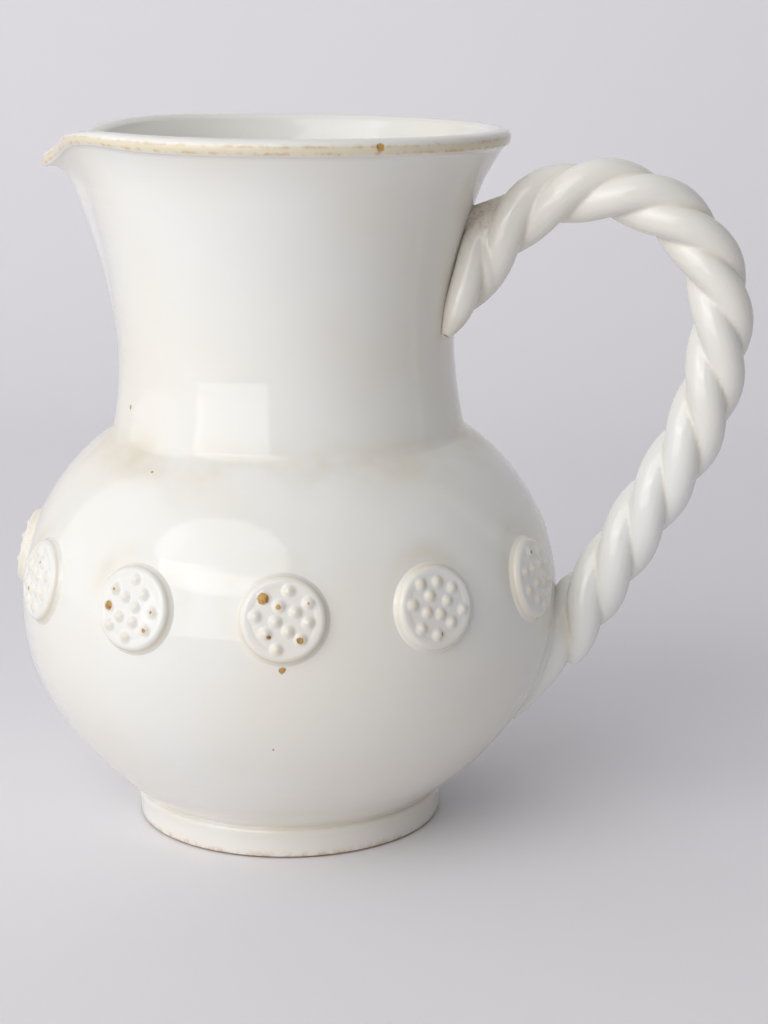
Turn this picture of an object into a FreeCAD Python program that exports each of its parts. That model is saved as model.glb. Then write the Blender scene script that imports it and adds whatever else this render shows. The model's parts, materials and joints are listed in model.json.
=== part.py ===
import FreeCAD, Part
import math
import os
import Sketcher

# White glazed jug: a thrown belly on a turned foot, a flared neck with a rolled rim and a pulled lip,
# a ring of pressed prunts round the belly and a handle twisted from three clay rolls.
# Origin: the jug's axis on the plane that it stands on. +Z up, handle towards +X, lip towards -X.
# Lengths are millimetres and angles are degrees.

DRIVING_SIZES = (
    # foot
    ("foot_radius", 47.6),
    ("foot_top_radius", 48.3),
    ("foot_height", 9.6),
    ("foot_edge", 0.9),
    ("foot_roll", 1.5),
    ("foot_width", 6.5),
    ("recess_depth", 4.5),
    ("recess_slope", 3.0),
    # belly
    ("waist_over_foot_radius", 46.8),
    ("flank_height", 42.5),
    ("flank_bulge", 2.4),
    ("belly_radius", 83.2),
    ("belly_height", 70.0),
    ("belly_round", 56.0),
    ("belly_wall", 5.0),
    ("floor_thickness", 6.0),
    ("floor_radius", 28.0),
    ("floor_bulge", 6.5),
    # seam between belly and neck
    ("seam_radius", 54.2),
    ("seam_height", 123.6),
    ("seam_width", 5.0),
    # neck
    ("neck_radius", 51.2),
    ("neck_height", 147.0),
    ("neck_bulge", 0.5),
    ("neck_wall", 4.8),
    ("flare_radius", 58.3),
    ("flare_below_rim", 20.0),
    ("flare_bulge", 1.9),
    ("mouth_bulge", 0.7),
    ("rim_radius", 67.4),
    ("rim_height", 215.5),
    ("rim_roll_height", 4.6),
    ("rim_roll_tuck", 1.5),
    ("rim_crest_inset", 4.3),
    ("rim_width", 6.2),
    ("rim_inner_drop", 1.5),
    # pouring lip
    ("lip_half_angle", 40.0),
    ("lip_reach", 8.2),
    ("lip_drop", 7.6),
    # handle
    ("crown_reach", 93.7),
    ("crown_height", 160.0),
    ("crown_radius", 37.3),
    ("root_radius", 80.0),
    ("root_angle", 24.5),
    ("rise_angle", 48.5),
    ("side_radius", 89.5),
    ("side_angle", 30.4),
    ("tail_height", 38.0),
    ("root_swing", 12.0),
    ("root_swing_length", 48.0),
    ("rope_radius", 9.6),
    ("groove_radius", 6.5),
    ("lay_length", 56.5),
    ("groove_after_crown", -1.0),
    ("root_taper_length", 16.0),
    ("tail_taper_length", 46.0),
    ("slip_gap", 0.1),
    # prunts
    ("prunt_radius", 11.6),
    ("prunt_proud", 2.7),
    ("prunt_root", 2.0),
    ("prunt_roll", 1.2),
    ("prunt_height", 84.5),
    ("prunt_first_angle", -18.0),
    ("prunt_step_angle", -31.3),
    ("prunt_seat_angle", 60.0),
)
PRUNT_COUNT = 11
STRAND_COUNT = 3
SECTIONS_PER_TURN = 8

# How much of the lip's reach and drop each section has, by its share of the lip's half angle.
LIP_SECTION_SHARES = (
    (0.0, 1.0, 1.0),
    (0.13, 0.66, 0.85),
    (0.28, 0.36, 0.60),
    (0.45, 0.14, 0.33),
    (0.65, 0.03, 0.10),
    (0.84, 0.0, 0.0),
    (1.0, 0.0, 0.0),
)
# How much deeper the curve under the rim is at the lip.
LIP_HOLLOW_SHARE = 2.0
# How far the lip's pull reaches down the neck.
WAIST_PULL_SHARE = 0.15
FLARE_PULL_SHARE = 0.8
# Size left of the rope at the very ends of its two tapers.
ROOT_TAPER_SHARE = 0.3
TAIL_TAPER_SHARE = 0.3
HALF = 0.5


class Size:
    """A value of the sheet, or one worked out from such values, as an expression and as a number."""

    def __init__(self, text, value):
        self.text = text
        self.value = value

    def joined(self, other, sign, value, swapped=False):
        left, right = str(self), str(other)
        if swapped:
            left, right = right, left
        return Size(f"({left} {sign} {right})", value)

    def __str__(self):
        return self.text

    def __add__(self, other):
        return self.joined(other, "+", self.value + number(other))

    def __radd__(self, other):
        return self.joined(other, "+", number(other) + self.value, True)

    def __sub__(self, other):
        return self.joined(other, "-", self.value - number(other))

    def __rsub__(self, other):
        return self.joined(other, "-", number(other) - self.value, True)

    def __mul__(self, other):
        return self.joined(other, "*", self.value * number(other))

    def __rmul__(self, other):
        return self.joined(other, "*", number(other) * self.value, True)

    def __truediv__(self, other):
        return self.joined(other, "/", self.value / number(other))

    def __neg__(self):
        return Size(f"(0 - {self})", -self.value)


def number(value):
    return value.value if isinstance(value, Size) else float(value)


def text(value):
    return str(value)


def root(value):
    return Size(f"sqrt({value})", math.sqrt(number(value)))


def fill_sheet(doc):
    sheet = doc.addObject("Spreadsheet::Sheet", "sizes")
    for row, (name, value) in enumerate(DRIVING_SIZES, start=1):
        sheet.set(f"A{row}", name)
        sheet.set(f"B{row}", str(value))
        sheet.setAlias(f"B{row}", name)
    doc.recompute()
    return sheet


def size(name):
    sheet = FreeCAD.ActiveDocument.getObject("sizes")
    return Size(f"sizes.{name}", float(sheet.get(name)))


def origin_part(body, role):
    return next(part for part in body.Origin.OriginFeatures if part.Role == role)


def new_sketch(body, name, plane):
    sketch = body.newObject("Sketcher::SketchObject", name)
    sketch.AttachmentSupport = [(origin_part(body, plane), "")]
    sketch.MapMode = "FlatFace"
    return sketch


def pin(sketch, geometry, vertex, place):
    """Holds one vertex of the sketch at a place given in sizes."""
    for axis, value in zip(("DistanceX", "DistanceY"), place):
        index = sketch.addConstraint(
            Sketcher.Constraint(axis, -1, 1, geometry, vertex, number(value))
        )
        if isinstance(value, Size):
            sketch.setExpression(f"Constraints[{index}]", text(value))


def middle(start, end):
    return ((start[0] + end[0]) * HALF, (start[1] + end[1]) * HALF)


def bulged(start, end, bulge):
    """The middle of a curve from start to end that stands bulge away from its chord, to the right."""
    run, rise = end[0] - start[0], end[1] - start[1]
    chord = root(run * run + rise * rise)
    mid = middle(start, end)
    return (mid[0] + bulge * rise / chord, mid[1] - bulge * run / chord)


def draw_outline(sketch, start, pieces):
    """A closed outline: each piece is the end of a line, or a middle and an end of an arc."""
    vector = FreeCAD.Vector
    place = start
    first = sketch.GeometryCount
    last = first
    for piece in pieces:
        a = vector(number(place[0]), number(place[1]), 0)
        end = piece[-1]
        b = vector(number(end[0]), number(end[1]), 0)
        if len(piece) == 1:
            last = sketch.addGeometry(Part.LineSegment(a, b), False)
            pin(sketch, last, 1, place)
            joint = (last, 2)
        else:
            via = piece[0]
            m = vector(number(via[0]), number(via[1]), 0)
            arc = Part.Arc(a, m, b)
            circle = arc.toShape().Curve
            a_angle = math.atan2(a.y - circle.Center.y, a.x - circle.Center.x)
            b_angle = math.atan2(b.y - circle.Center.y, b.x - circle.Center.x)
            turns_left = (m - a).cross(b - m).z > 0
            ends = (a_angle, b_angle) if turns_left else (b_angle, a_angle)
            flat = Part.Circle(circle.Center, vector(0, 0, 1), circle.Radius)
            last = sketch.addGeometry(Part.ArcOfCircle(flat, *ends), False)
            starts, stops = (1, 2) if turns_left else (2, 1)
            pin(sketch, last, starts, place)
            point = sketch.addGeometry(Part.Point(m), True)
            sketch.addConstraint(Sketcher.Constraint("PointOnObject", point, 1, last))
            pin(sketch, point, 1, via)
            joint = (last, stops)
        place = end
        if piece is pieces[-1]:
            pin(sketch, joint[0], joint[1], start)
        else:
            pin(sketch, joint[0], joint[1], end)


def revolve(body, name, sketch, angle, symmetric=False, cut=False):
    kind = "PartDesign::Groove" if cut else "PartDesign::Revolution"
    feature = body.newObject(kind, name)
    feature.Profile = sketch
    feature.ReferenceAxis = (sketch, ["V_Axis"])
    feature.Midplane = symmetric
    feature.Angle = number(angle)
    if isinstance(angle, Size):
        feature.setExpression("Angle", text(angle))
    return feature


def belly_upper_round(inset):
    """Radius of the arc from the widest place of the belly to the seam, inset into its wall."""
    rise = size("seam_height") - size("belly_height")
    widest = size("belly_radius") - inset[0]
    narrow = size("seam_radius") - inset[1]
    draw_in = widest - narrow
    return (draw_in * draw_in + rise * rise) / (2 * draw_in)


def at_height(widest, round_radius, height):
    """Radius at a height of an arc whose widest place lies at the belly's height."""
    rise = height - size("belly_height")
    return widest - round_radius + root(round_radius * round_radius - rise * rise)


def belly_outline(sketch):
    """The belly's wall from the foot ring, with the recess inside it, up to the seam of the neck."""
    foot = size("foot_radius")
    edge = size("foot_edge")
    roll = size("foot_roll")
    widest = size("belly_radius")
    belly = size("belly_height")
    wall = size("belly_wall")
    seam = size("seam_height")
    flank = size("flank_height")
    lower_round = size("belly_round")
    upper_round = belly_upper_round((0, 0))
    inner_round = belly_upper_round((wall, size("seam_width")))
    half_up = (belly + seam) * HALF
    half_down = (belly + flank) * HALF
    foot_inside = foot - size("foot_width")
    recess = size("recess_depth")
    floor = recess + size("floor_thickness")
    foot_corner = (foot - edge, Size("0", 0.0))
    foot_side = (foot, edge)
    foot_top = (size("foot_top_radius"), size("foot_height") - roll)
    crease = (size("waist_over_foot_radius"), size("foot_height"))
    flank_out = (at_height(widest, lower_round, flank), flank)
    seam_out = (size("seam_radius"), seam)
    seam_in = (size("seam_radius") - size("seam_width"), seam)
    inner_widest = widest - wall
    flank_in = (at_height(inner_widest, lower_round - wall, flank), flank)
    floor_edge = (size("floor_radius"), floor)
    zero = Size("0", 0.0)
    pieces = (
        ((foot_inside - size("recess_slope"), recess),),
        ((foot_inside, zero),),
        (foot_corner,),
        (bulged(foot_corner, foot_side, edge * HALF * HALF), foot_side),
        (foot_top,),
        (bulged(foot_top, crease, roll * HALF * HALF), crease),
        (bulged(crease, flank_out, size("flank_bulge")), flank_out),
        ((at_height(widest, lower_round, half_down), half_down), (widest, belly)),
        ((at_height(widest, upper_round, half_up), half_up), seam_out),
        (seam_in,),
        ((at_height(inner_widest, inner_round, half_up), half_up), (inner_widest, belly)),
        ((at_height(inner_widest, lower_round - wall, half_down), half_down), flank_in),
        (bulged(flank_in, floor_edge, -size("floor_bulge")), floor_edge),
        ((zero, floor),),
        ((zero, recess),),
    )
    draw_outline(sketch, (zero, recess), pieces)


def neck_outline(sketch, reach, drop):
    """The neck's wall from seam to rim, pulled out by reach and down by drop at the rim."""
    seam = size("seam_height")
    outer = size("seam_radius")
    wall = size("neck_wall")
    waist_pull = reach * WAIST_PULL_SHARE
    flare_pull = reach * FLARE_PULL_SHARE
    waist_out = (size("neck_radius") + waist_pull, size("neck_height"))
    waist_in = (waist_out[0] - wall, waist_out[1])
    flare_out = (size("flare_radius") + flare_pull, size("rim_height") - size("flare_below_rim"))
    flare_in = (flare_out[0] - wall, flare_out[1])
    rim = size("rim_radius") + reach
    top = size("rim_height") - drop
    roll = size("rim_roll_height")
    under = (rim - size("rim_roll_tuck"), top - roll)
    widest = (rim, top - roll * HALF)
    crest = (rim - size("rim_crest_inset"), top)
    inside = (rim - size("rim_width"), top - size("rim_inner_drop"))
    crest_bulge = size("rim_inner_drop") * HALF * HALF
    under_bulge = size("mouth_bulge") * (1 + drop * LIP_HOLLOW_SHARE / size("lip_drop"))
    start = (outer, seam)
    foot_in = (outer - size("seam_width"), seam)
    pieces = (
        (bulged(start, waist_out, -size("neck_bulge")), waist_out),
        (bulged(waist_out, flare_out, -size("flare_bulge")), flare_out),
        (bulged(flare_out, under, -under_bulge), under),
        (widest, crest),
        (bulged(crest, inside, crest_bulge), inside),
        (bulged(inside, flare_in, size("mouth_bulge")), flare_in),
        (bulged(flare_in, waist_in, size("flare_bulge")), waist_in),
        (bulged(waist_in, foot_in, size("neck_bulge")), foot_in),
        (start,),
    )
    draw_outline(sketch, start, pieces)


def make_jug_body(doc):
    """Belly and neck, thrown in one piece. The lip is lofted through upright sections of the neck."""
    body = doc.addObject("PartDesign::Body", "jug_body")
    belly = new_sketch(body, "belly_wall", "XZ_Plane")
    belly_outline(belly)
    revolve(body, "belly_turned", belly, 360)
    neck = new_sketch(body, "neck_wall", "XZ_Plane")
    zero = Size("0", 0.0)
    neck_outline(neck, zero, zero)
    half = size("lip_half_angle")
    revolve(body, "neck_turned", neck, 360 - 2 * half, symmetric=True)
    sections = []
    sides = [(-1, shares) for shares in reversed(LIP_SECTION_SHARES)]
    sides += [(1, shares) for shares in LIP_SECTION_SHARES[1:]]
    for place, (side, (turn_share, reach_share, drop_share)) in enumerate(sides, start=1):
        section = new_sketch(body, f"lip_section_{place}", "XZ_Plane")
        turn = half * (side * turn_share) + 180
        section.AttachmentOffset = FreeCAD.Placement(
            FreeCAD.Vector(0, 0, 0), FreeCAD.Rotation(FreeCAD.Vector(0, 1, 0), turn.value)
        )
        section.setExpression("AttachmentOffset.Rotation.Angle", text(turn))
        reach = size("lip_reach") * reach_share
        neck_outline(section, reach, size("lip_drop") * drop_share)
        sections.append(section)
    doc.recompute()
    lip = body.newObject("PartDesign::AdditiveLoft", "pouring_lip")
    lip.Profile = sections[0]
    lip.Sections = sections[1:]
    return body


def set_offset(sketch, places, tilt):
    """Moves a sketch off its plane by three places and tilts it about its own x axis."""
    sketch.AttachmentOffset = FreeCAD.Placement(
        FreeCAD.Vector(*(number(place) for place in places)),
        FreeCAD.Rotation(FreeCAD.Vector(1, 0, 0), number(tilt)),
    )
    for axis, place in zip("xyz", places):
        sketch.setExpression(f"AttachmentOffset.Base.{axis}", text(place))


def make_prunt(doc, place):
    """A pressed clay disc whose back follows the belly, a slip's thickness off it."""
    name = f"prunt_{place:02d}"
    body = doc.addObject("PartDesign::Body", name)
    widest = size("belly_radius")
    belly = size("belly_height")
    gap = size("slip_gap")
    upper_round = belly_upper_round((0, 0))
    rise = size("prunt_height") - belly
    seat_radius = at_height(widest, upper_round, size("prunt_height"))
    up_share = rise / upper_round
    out_share = root(1 - up_share * up_share)
    tilt = math.degrees(math.asin(up_share.value))
    depth = size("prunt_root")
    disc = new_sketch(body, f"{name}_disc", "YZ_Plane")
    set_offset(
        disc,
        (Size("0", 0.0), size("prunt_height") - depth * up_share, seat_radius - depth * out_share),
        -tilt,
    )
    radius = size("prunt_radius")
    disc.addGeometry(Part.Circle(FreeCAD.Vector(0, 0, 0), FreeCAD.Vector(0, 0, 1), radius.value), False)
    disc.addConstraint(Sketcher.Constraint("Coincident", 0, 3, -1, 1))
    index = disc.addConstraint(Sketcher.Constraint("Radius", 0, radius.value))
    disc.setExpression(f"Constraints[{index}]", text(radius))
    pad = body.newObject("PartDesign::Pad", f"{name}_pressed")
    pad.Profile = disc
    proud = depth + size("prunt_proud")
    pad.Length = proud.value
    pad.setExpression("Length", text(proud))
    doc.recompute()
    rounded = body.newObject("PartDesign::Fillet", f"{name}_rounded")
    far = max(
        range(len(pad.Shape.Edges)), key=lambda i: pad.Shape.Edges[i].CenterOfMass.x
    )
    rounded.Base = (pad, [f"Edge{far + 1}"])
    rounded.Radius = size("prunt_roll").value
    rounded.setExpression("Radius", "sizes.prunt_roll")
    seat = new_sketch(body, f"{name}_seat", "XZ_Plane")
    zero = Size("0", 0.0)
    low = belly - 2 * radius
    high = size("prunt_height") + radius + depth
    half_down = (low + belly) * HALF
    half_up = (belly + high) * HALF
    lower_seat = size("belly_round") + gap
    upper_seat = upper_round + gap
    wide = widest + gap
    draw_outline(
        seat,
        (zero, low),
        (
            ((at_height(wide, lower_seat, low), low),),
            ((at_height(wide, lower_seat, half_down), half_down), (wide, belly)),
            (
                (at_height(wide, upper_seat, half_up), half_up),
                (at_height(wide, upper_seat, high), high),
            ),
            ((zero, high),),
            ((zero, low),),
        ),
    )
    sweep = size("prunt_seat_angle")
    groove = revolve(body, f"{name}_back", seat, sweep, symmetric=True, cut=True)
    body.Tip = groove
    body.Placement = FreeCAD.Placement(
        FreeCAD.Vector(0, 0, 0),
        FreeCAD.Rotation(
            FreeCAD.Vector(0, 0, 1),
            number(size("prunt_first_angle") + (place - 1) * size("prunt_step_angle")),
        ),
    )
    return body


def handle_path():
    """The rope's centreline in the XZ plane: root arc, crown arc, side arc and the straight tail."""
    reach, height = size("crown_reach").value, size("crown_height").value
    crown, side, root_arc = (size(n).value for n in ("crown_radius", "side_radius", "root_radius"))
    rise = math.radians(90 + size("rise_angle").value)
    bend = math.radians(size("side_angle").value)
    sweep = math.radians(size("root_angle").value)
    root_centre = (
        reach + (crown - root_arc) * math.cos(rise),
        height + (crown - root_arc) * math.sin(rise),
    )
    side_centre = (reach + crown - side, height)
    arcs = (
        (root_centre, root_arc, rise + sweep, sweep),
        ((reach, height), crown, rise, rise),
        (side_centre, side, 0.0, bend),
    )
    knee = (side_centre[0] + side * math.cos(bend), height - side * math.sin(bend))
    tail = (knee[1] - size("tail_height").value) / math.cos(bend)
    return arcs, knee, bend, tail


def path_length():
    arcs, knee, bend, tail = handle_path()
    return sum(radius * sweep for _, radius, _, sweep in arcs) + tail


def crown_station():
    """Distance along the path to the top of the crown."""
    arcs = handle_path()[0]
    _, root_arc, _, sweep = arcs[0]
    return root_arc * sweep + arcs[1][1] * (arcs[1][2] - math.pi * HALF)


def swing(distance):
    """How far the rope's root lies to the front of the handle's plane, and how fast that shrinks."""
    run = size("root_swing_length").value
    left = max(0.0, 1 - distance / run)
    reach = size("root_swing").value
    return reach * left * left, 2 * reach * left / run


def path_point(distance):
    """Place and direction on the rope's centreline at a distance from its upper end."""
    aside, rate = swing(distance)
    place, along = plane_point(distance)
    place.y = -aside
    along.y = rate
    return place, along.normalize()


def plane_point(distance):
    """Place and direction on the path in the handle's plane."""
    arcs, knee, bend, _ = handle_path()
    for centre, radius, start, sweep in arcs:
        if distance <= radius * sweep:
            angle = start - distance / radius
            place = FreeCAD.Vector(
                centre[0] + radius * math.cos(angle), 0, centre[1] + radius * math.sin(angle)
            )
            return place, FreeCAD.Vector(math.sin(angle), 0, -math.cos(angle))
        distance -= radius * sweep
    along = FreeCAD.Vector(-math.sin(bend), 0, -math.cos(bend))
    return FreeCAD.Vector(knee[0], 0, knee[1]) + along * distance, along


def taper(distance):
    """Share of its full size that the rope has at a distance along the path."""
    total = path_length()
    root_run = min(1.0, distance / size("root_taper_length").value)
    tail_run = min(1.0, (total - distance) / size("tail_taper_length").value)
    return min(eased(ROOT_TAPER_SHARE, root_run), eased(TAIL_TAPER_SHARE, tail_run))


def eased(least, run):
    return least + (1 - least) * math.sin(run * math.pi * HALF)


def laid_angle(distance):
    """Angle of the first groove round the path, from its outside towards the front."""
    lay = size("lay_length").value
    start = crown_station() + size("groove_after_crown").value
    return math.radians(90) - 2 * math.pi * (distance - start) / lay


def petal(distance, strand):
    """One strand's section: two sides that meet on the rope's axis and a round back."""
    place, along = path_point(distance)
    outside = FreeCAD.Vector(-along.z, 0, along.x).normalize()
    front = along.cross(outside)
    share = taper(distance)
    half = math.pi / STRAND_COUNT
    middle_angle = laid_angle(distance) + half * (2 * strand + 1)
    reach = size("rope_radius").value * share
    groove = size("groove_radius").value * share
    gap = size("slip_gap").value

    def around(radius, angle):
        return outside * (radius * math.cos(angle)) + front * (radius * math.sin(angle))

    apex = place + around(gap * HALF / math.sin(half), middle_angle)
    left = apex + around(groove, middle_angle - half)
    right = apex + around(groove, middle_angle + half)
    back = place + around(reach, middle_angle)
    return Part.Wire(
        [
            Part.LineSegment(apex, left).toShape(),
            Part.Arc(left, back, right).toShape(),
            Part.LineSegment(right, apex).toShape(),
        ]
    )


def make_filled_jug():
    """The jug's outside with no hollow, a slip's thickness larger, which trims the strands' ends."""
    gap = size("slip_gap").value
    belly, widest = size("belly_height").value, size("belly_radius").value + gap
    lower_round = size("belly_round").value + gap
    upper_round = belly_upper_round((0, 0)).value + gap
    seam = size("seam_height").value
    vector = FreeCAD.Vector

    def out(radius, height):
        return vector(radius, 0, height)

    def arc_x(round_radius, height):
        return widest - round_radius + math.sqrt(round_radius**2 - (height - belly) ** 2)

    flank = size("flank_height").value
    crease = out(size("waist_over_foot_radius").value + gap, size("foot_height").value)
    flank_out = out(arc_x(lower_round, flank), flank)
    chord = flank_out - crease
    across = vector(chord.z, 0, -chord.x).normalize()
    flank_mid = (crease + flank_out) * HALF + across * size("flank_bulge").value
    half_up, half_down = (belly + seam) * HALF, (belly + flank) * HALF
    seam_x = arc_x(upper_round, seam)
    waist = out(size("neck_radius").value + gap, size("neck_height").value)
    flare_height = size("rim_height") - size("flare_below_rim")
    flare = out(size("flare_radius").value + gap, flare_height.value)
    top = out(size("rim_radius").value - size("rim_roll_tuck").value + gap,
              size("rim_height").value - size("rim_roll_height").value)

    def hollow(start, end, bulge):
        run = end - start
        side = vector(run.z, 0, -run.x).normalize()
        return Part.Arc(start, (start + end) * HALF - side * bulge, end).toShape()

    seam_out = out(seam_x, seam)
    edges = [
        Part.LineSegment(out(0, crease.z), crease).toShape(),
        Part.Arc(crease, flank_mid, flank_out).toShape(),
        Part.Arc(flank_out, out(arc_x(lower_round, half_down), half_down), out(widest, belly)).toShape(),
        Part.Arc(out(widest, belly), out(arc_x(upper_round, half_up), half_up), seam_out).toShape(),
        hollow(seam_out, waist, size("neck_bulge").value),
        hollow(waist, flare, size("flare_bulge").value),
        hollow(flare, top, size("mouth_bulge").value),
        Part.LineSegment(top, out(0, top.z)).toShape(),
        Part.LineSegment(out(0, top.z), out(0, crease.z)).toShape(),
    ]
    face = Part.Face(Part.Wire(edges))
    return face.revolve(vector(0, 0, 0), vector(0, 0, 1), 360)


def make_strand(doc, place, filled_jug):
    """One clay roll of the handle, lofted through its sections and trimmed to the jug's wall."""
    total = path_length()
    count = round(total / size("lay_length").value * SECTIONS_PER_TURN)
    wires = [petal(total * step / count, place - 1) for step in range(count + 1)]
    roll = Part.makeLoft(wires, True, False)
    trimmed = roll.cut(filled_jug)
    solid = max(trimmed.Solids, key=lambda s: s.Volume)
    print(f"strand {place}: {len(trimmed.Solids)} solids, kept {solid.Volume:.0f} mm3")
    strand = doc.addObject("Part::Feature", f"handle_strand_{place}")
    strand.Shape = solid
    return strand


def check(doc, parts):
    for item in doc.Objects:
        if "Invalid" in item.State or "Error" in item.State:
            raise RuntimeError(f"{item.Name}: {item.State}")
    for part in parts:
        if part.Shape.isNull() or not part.Shape.isValid():
            raise RuntimeError(f"{part.Label}: its shape is not valid")


def main():
    doc = FreeCAD.newDocument("jug")
    fill_sheet(doc)
    parts = [make_jug_body(doc)]
    doc.recompute()
    filled_jug = make_filled_jug()
    parts += [make_strand(doc, place, filled_jug) for place in range(1, STRAND_COUNT + 1)]
    parts += [make_prunt(doc, place) for place in range(1, PRUNT_COUNT + 1)]
    doc.recompute()
    check(doc, parts)
    os.makedirs("parts", exist_ok=True)
    for part in parts:
        part.Shape.exportStep(f"parts/{part.Label}.step")
        print(f"{part.Label}: {part.Shape.Volume / 1000:.2f} cm3, {len(part.Shape.Faces)} faces")


main()
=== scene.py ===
# %% [markdown]
# # A white glazed jug with a twisted handle
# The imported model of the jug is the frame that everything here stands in: one thrown body, three clay
# rolls twisted into a handle, and eleven pressed discs. It is made of plain solids. The pieces made
# below take their places, with the softness of clay under a thick glaze. Blender's lengths are metres, and
# the tables of places are in millimetres.

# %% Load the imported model
import bpy
import json
import math
import mathutils
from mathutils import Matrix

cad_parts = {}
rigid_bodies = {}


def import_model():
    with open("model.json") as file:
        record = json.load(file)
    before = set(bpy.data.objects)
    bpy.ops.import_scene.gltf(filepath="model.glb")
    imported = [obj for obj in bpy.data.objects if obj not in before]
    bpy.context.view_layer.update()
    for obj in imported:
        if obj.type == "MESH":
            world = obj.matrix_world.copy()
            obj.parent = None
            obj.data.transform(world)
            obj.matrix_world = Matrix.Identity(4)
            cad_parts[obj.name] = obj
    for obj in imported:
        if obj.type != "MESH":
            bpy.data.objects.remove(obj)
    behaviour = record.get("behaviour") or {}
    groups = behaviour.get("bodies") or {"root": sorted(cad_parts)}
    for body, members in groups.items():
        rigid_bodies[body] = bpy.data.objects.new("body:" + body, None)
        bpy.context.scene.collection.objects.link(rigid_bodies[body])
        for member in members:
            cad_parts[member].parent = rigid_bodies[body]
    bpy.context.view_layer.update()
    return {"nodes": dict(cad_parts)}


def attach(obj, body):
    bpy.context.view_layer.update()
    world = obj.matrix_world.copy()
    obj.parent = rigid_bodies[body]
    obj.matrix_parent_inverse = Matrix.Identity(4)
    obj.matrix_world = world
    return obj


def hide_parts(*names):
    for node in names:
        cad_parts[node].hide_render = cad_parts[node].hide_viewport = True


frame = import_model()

MM = 0.001
print("nodes:", sorted(frame["nodes"]))

# %% [markdown]
# Blender's operators act on all that is selected, and the loaded nodes are still selected. So each step
# starts by letting go of everything, and one small helper picks points by their place instead of by mouse.

# %% Helpers to take hold of a piece
def let_go():
    if bpy.context.mode != "OBJECT":
        bpy.ops.object.mode_set(mode="OBJECT")
    bpy.ops.object.select_all(action="DESELECT")


def hold(piece):
    """Selects this piece alone."""
    let_go()
    piece.select_set(True)
    bpy.context.view_layer.objects.active = piece
    return piece


def pick(piece, wanted):
    """In edit mode, selects the points whose place is wanted."""
    hold(piece)
    bpy.ops.object.mode_set(mode="EDIT")
    bpy.ops.mesh.select_mode(type="VERT")
    bpy.ops.mesh.select_all(action="DESELECT")
    bpy.ops.object.mode_set(mode="OBJECT")
    for point in piece.data.vertices:
        point.select = wanted(point.co)
    bpy.ops.object.mode_set(mode="EDIT")


def count(piece):
    print(piece.name, "triangles:", sum(len(face.vertices) - 2 for face in piece.data.polygons))


# %% [markdown]
# A potter's shapes are lines first: the jug is an outline turned on the wheel, the handle's rolls are
# lines laid round each other. Such a line is drawn by extruding one point from place to place.

# %% Draw a line from point to point
def drawn_line(name, places):
    let_go()
    bpy.ops.mesh.primitive_plane_add(size=0.01)
    line = bpy.context.object
    line.name = name
    bpy.ops.object.mode_set(mode="EDIT")
    bpy.ops.mesh.select_all(action="SELECT")
    bpy.ops.mesh.merge(type="CENTER")
    bpy.ops.transform.translate(value=places[0])
    for here, there in zip(places, places[1:]):
        step = tuple(b - a for a, b in zip(here, there))
        bpy.ops.mesh.extrude_vertices_move(TRANSFORM_OT_translate={"value": step})
    bpy.ops.object.mode_set(mode="OBJECT")
    return line


# %% [markdown]
# Clay is also pushed: a lip is pulled out with a finger, a disc is pressed to the wall. Each such push is
# a vertex group whose weights say how much every point follows, and a Displace modifier that is applied.

# %% Push a piece in one direction
def share_between(low, high, value):
    """0 up to low, 1 from high on, and a soft rise between them."""
    run = min(1.0, max(0.0, (value - low) / (high - low)))
    return run * run * (3 - 2 * run)


def pressed(piece, direction, depth, share):
    """Moves each point along X, Y or Z by depth times share(its place)."""
    hold(piece)
    group = piece.vertex_groups.new(name="press")
    for point in piece.data.vertices:
        weight = share(point.co)
        if weight > 0.0001:
            group.add([point.index], weight, "REPLACE")
    press = piece.modifiers.new("press", "DISPLACE")
    press.direction = direction
    press.vertex_group = "press"
    press.mid_level = 0.0
    press.strength = depth
    bpy.ops.object.modifier_apply(modifier="press")
    piece.vertex_groups.remove(piece.vertex_groups["press"])


def noted(piece, name, share):
    """Writes share(place) on every point, for a finish to read later."""
    note = piece.data.attributes.new(name, "FLOAT", "POINT")
    note.data.foreach_set("value", [share(point.co) for point in piece.data.vertices])


# %% [markdown]
# ## The thrown body
# The real jug was thrown on a wheel: a round belly on a turned foot, a shoulder that runs into a flared
# neck, and a rim rolled over to a band. It could be built from rings of faces, but a spin is the same as
# the wheel: one outline, turned once. The outline is drawn as arcs between the places where the curve of
# the wall changes, given as radius and height in millimetres, and it runs from the middle of the
# underside, up the outside, over the rim and down the inside.

# %% The outline of the wall
def through(start, via, end, steps):
    """Places on the arc from start over via to end, without the start."""
    (ax, ay), (bx, by), (cx, cy) = start, via, end
    turn = 2 * (ax * (by - cy) + bx * (cy - ay) + cx * (ay - by))
    a2, b2, c2 = ax * ax + ay * ay, bx * bx + by * by, cx * cx + cy * cy
    x = (a2 * (by - cy) + b2 * (cy - ay) + c2 * (ay - by)) / turn
    y = (a2 * (cx - bx) + b2 * (ax - cx) + c2 * (bx - ax)) / turn
    first = math.atan2(ay - y, ax - x)
    whole = (math.atan2(cy - y, cx - x) - first) % math.tau
    half = (math.atan2(by - y, bx - x) - first) % math.tau
    if half > whole:
        whole -= math.tau
    radius = math.hypot(ax - x, ay - y)
    angles = [first + whole * step / steps for step in range(1, steps + 1)]
    return [(x + radius * math.cos(a), y + radius * math.sin(a)) for a in angles]


def bowed(start, end, bulge, steps):
    """An arc that stands bulge away from its chord, to the right on the way from start to end."""
    run, rise = end[0] - start[0], end[1] - start[1]
    chord = math.hypot(run, rise)
    via = ((start[0] + end[0]) / 2 + bulge * rise / chord, (start[1] + end[1]) / 2 - bulge * run / chord)
    return through(start, via, end, steps)


def straight(start, end, steps):
    return [tuple(a + (b - a) * step / steps for a, b in zip(start, end)) for step in range(1, steps + 1)]


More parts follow.
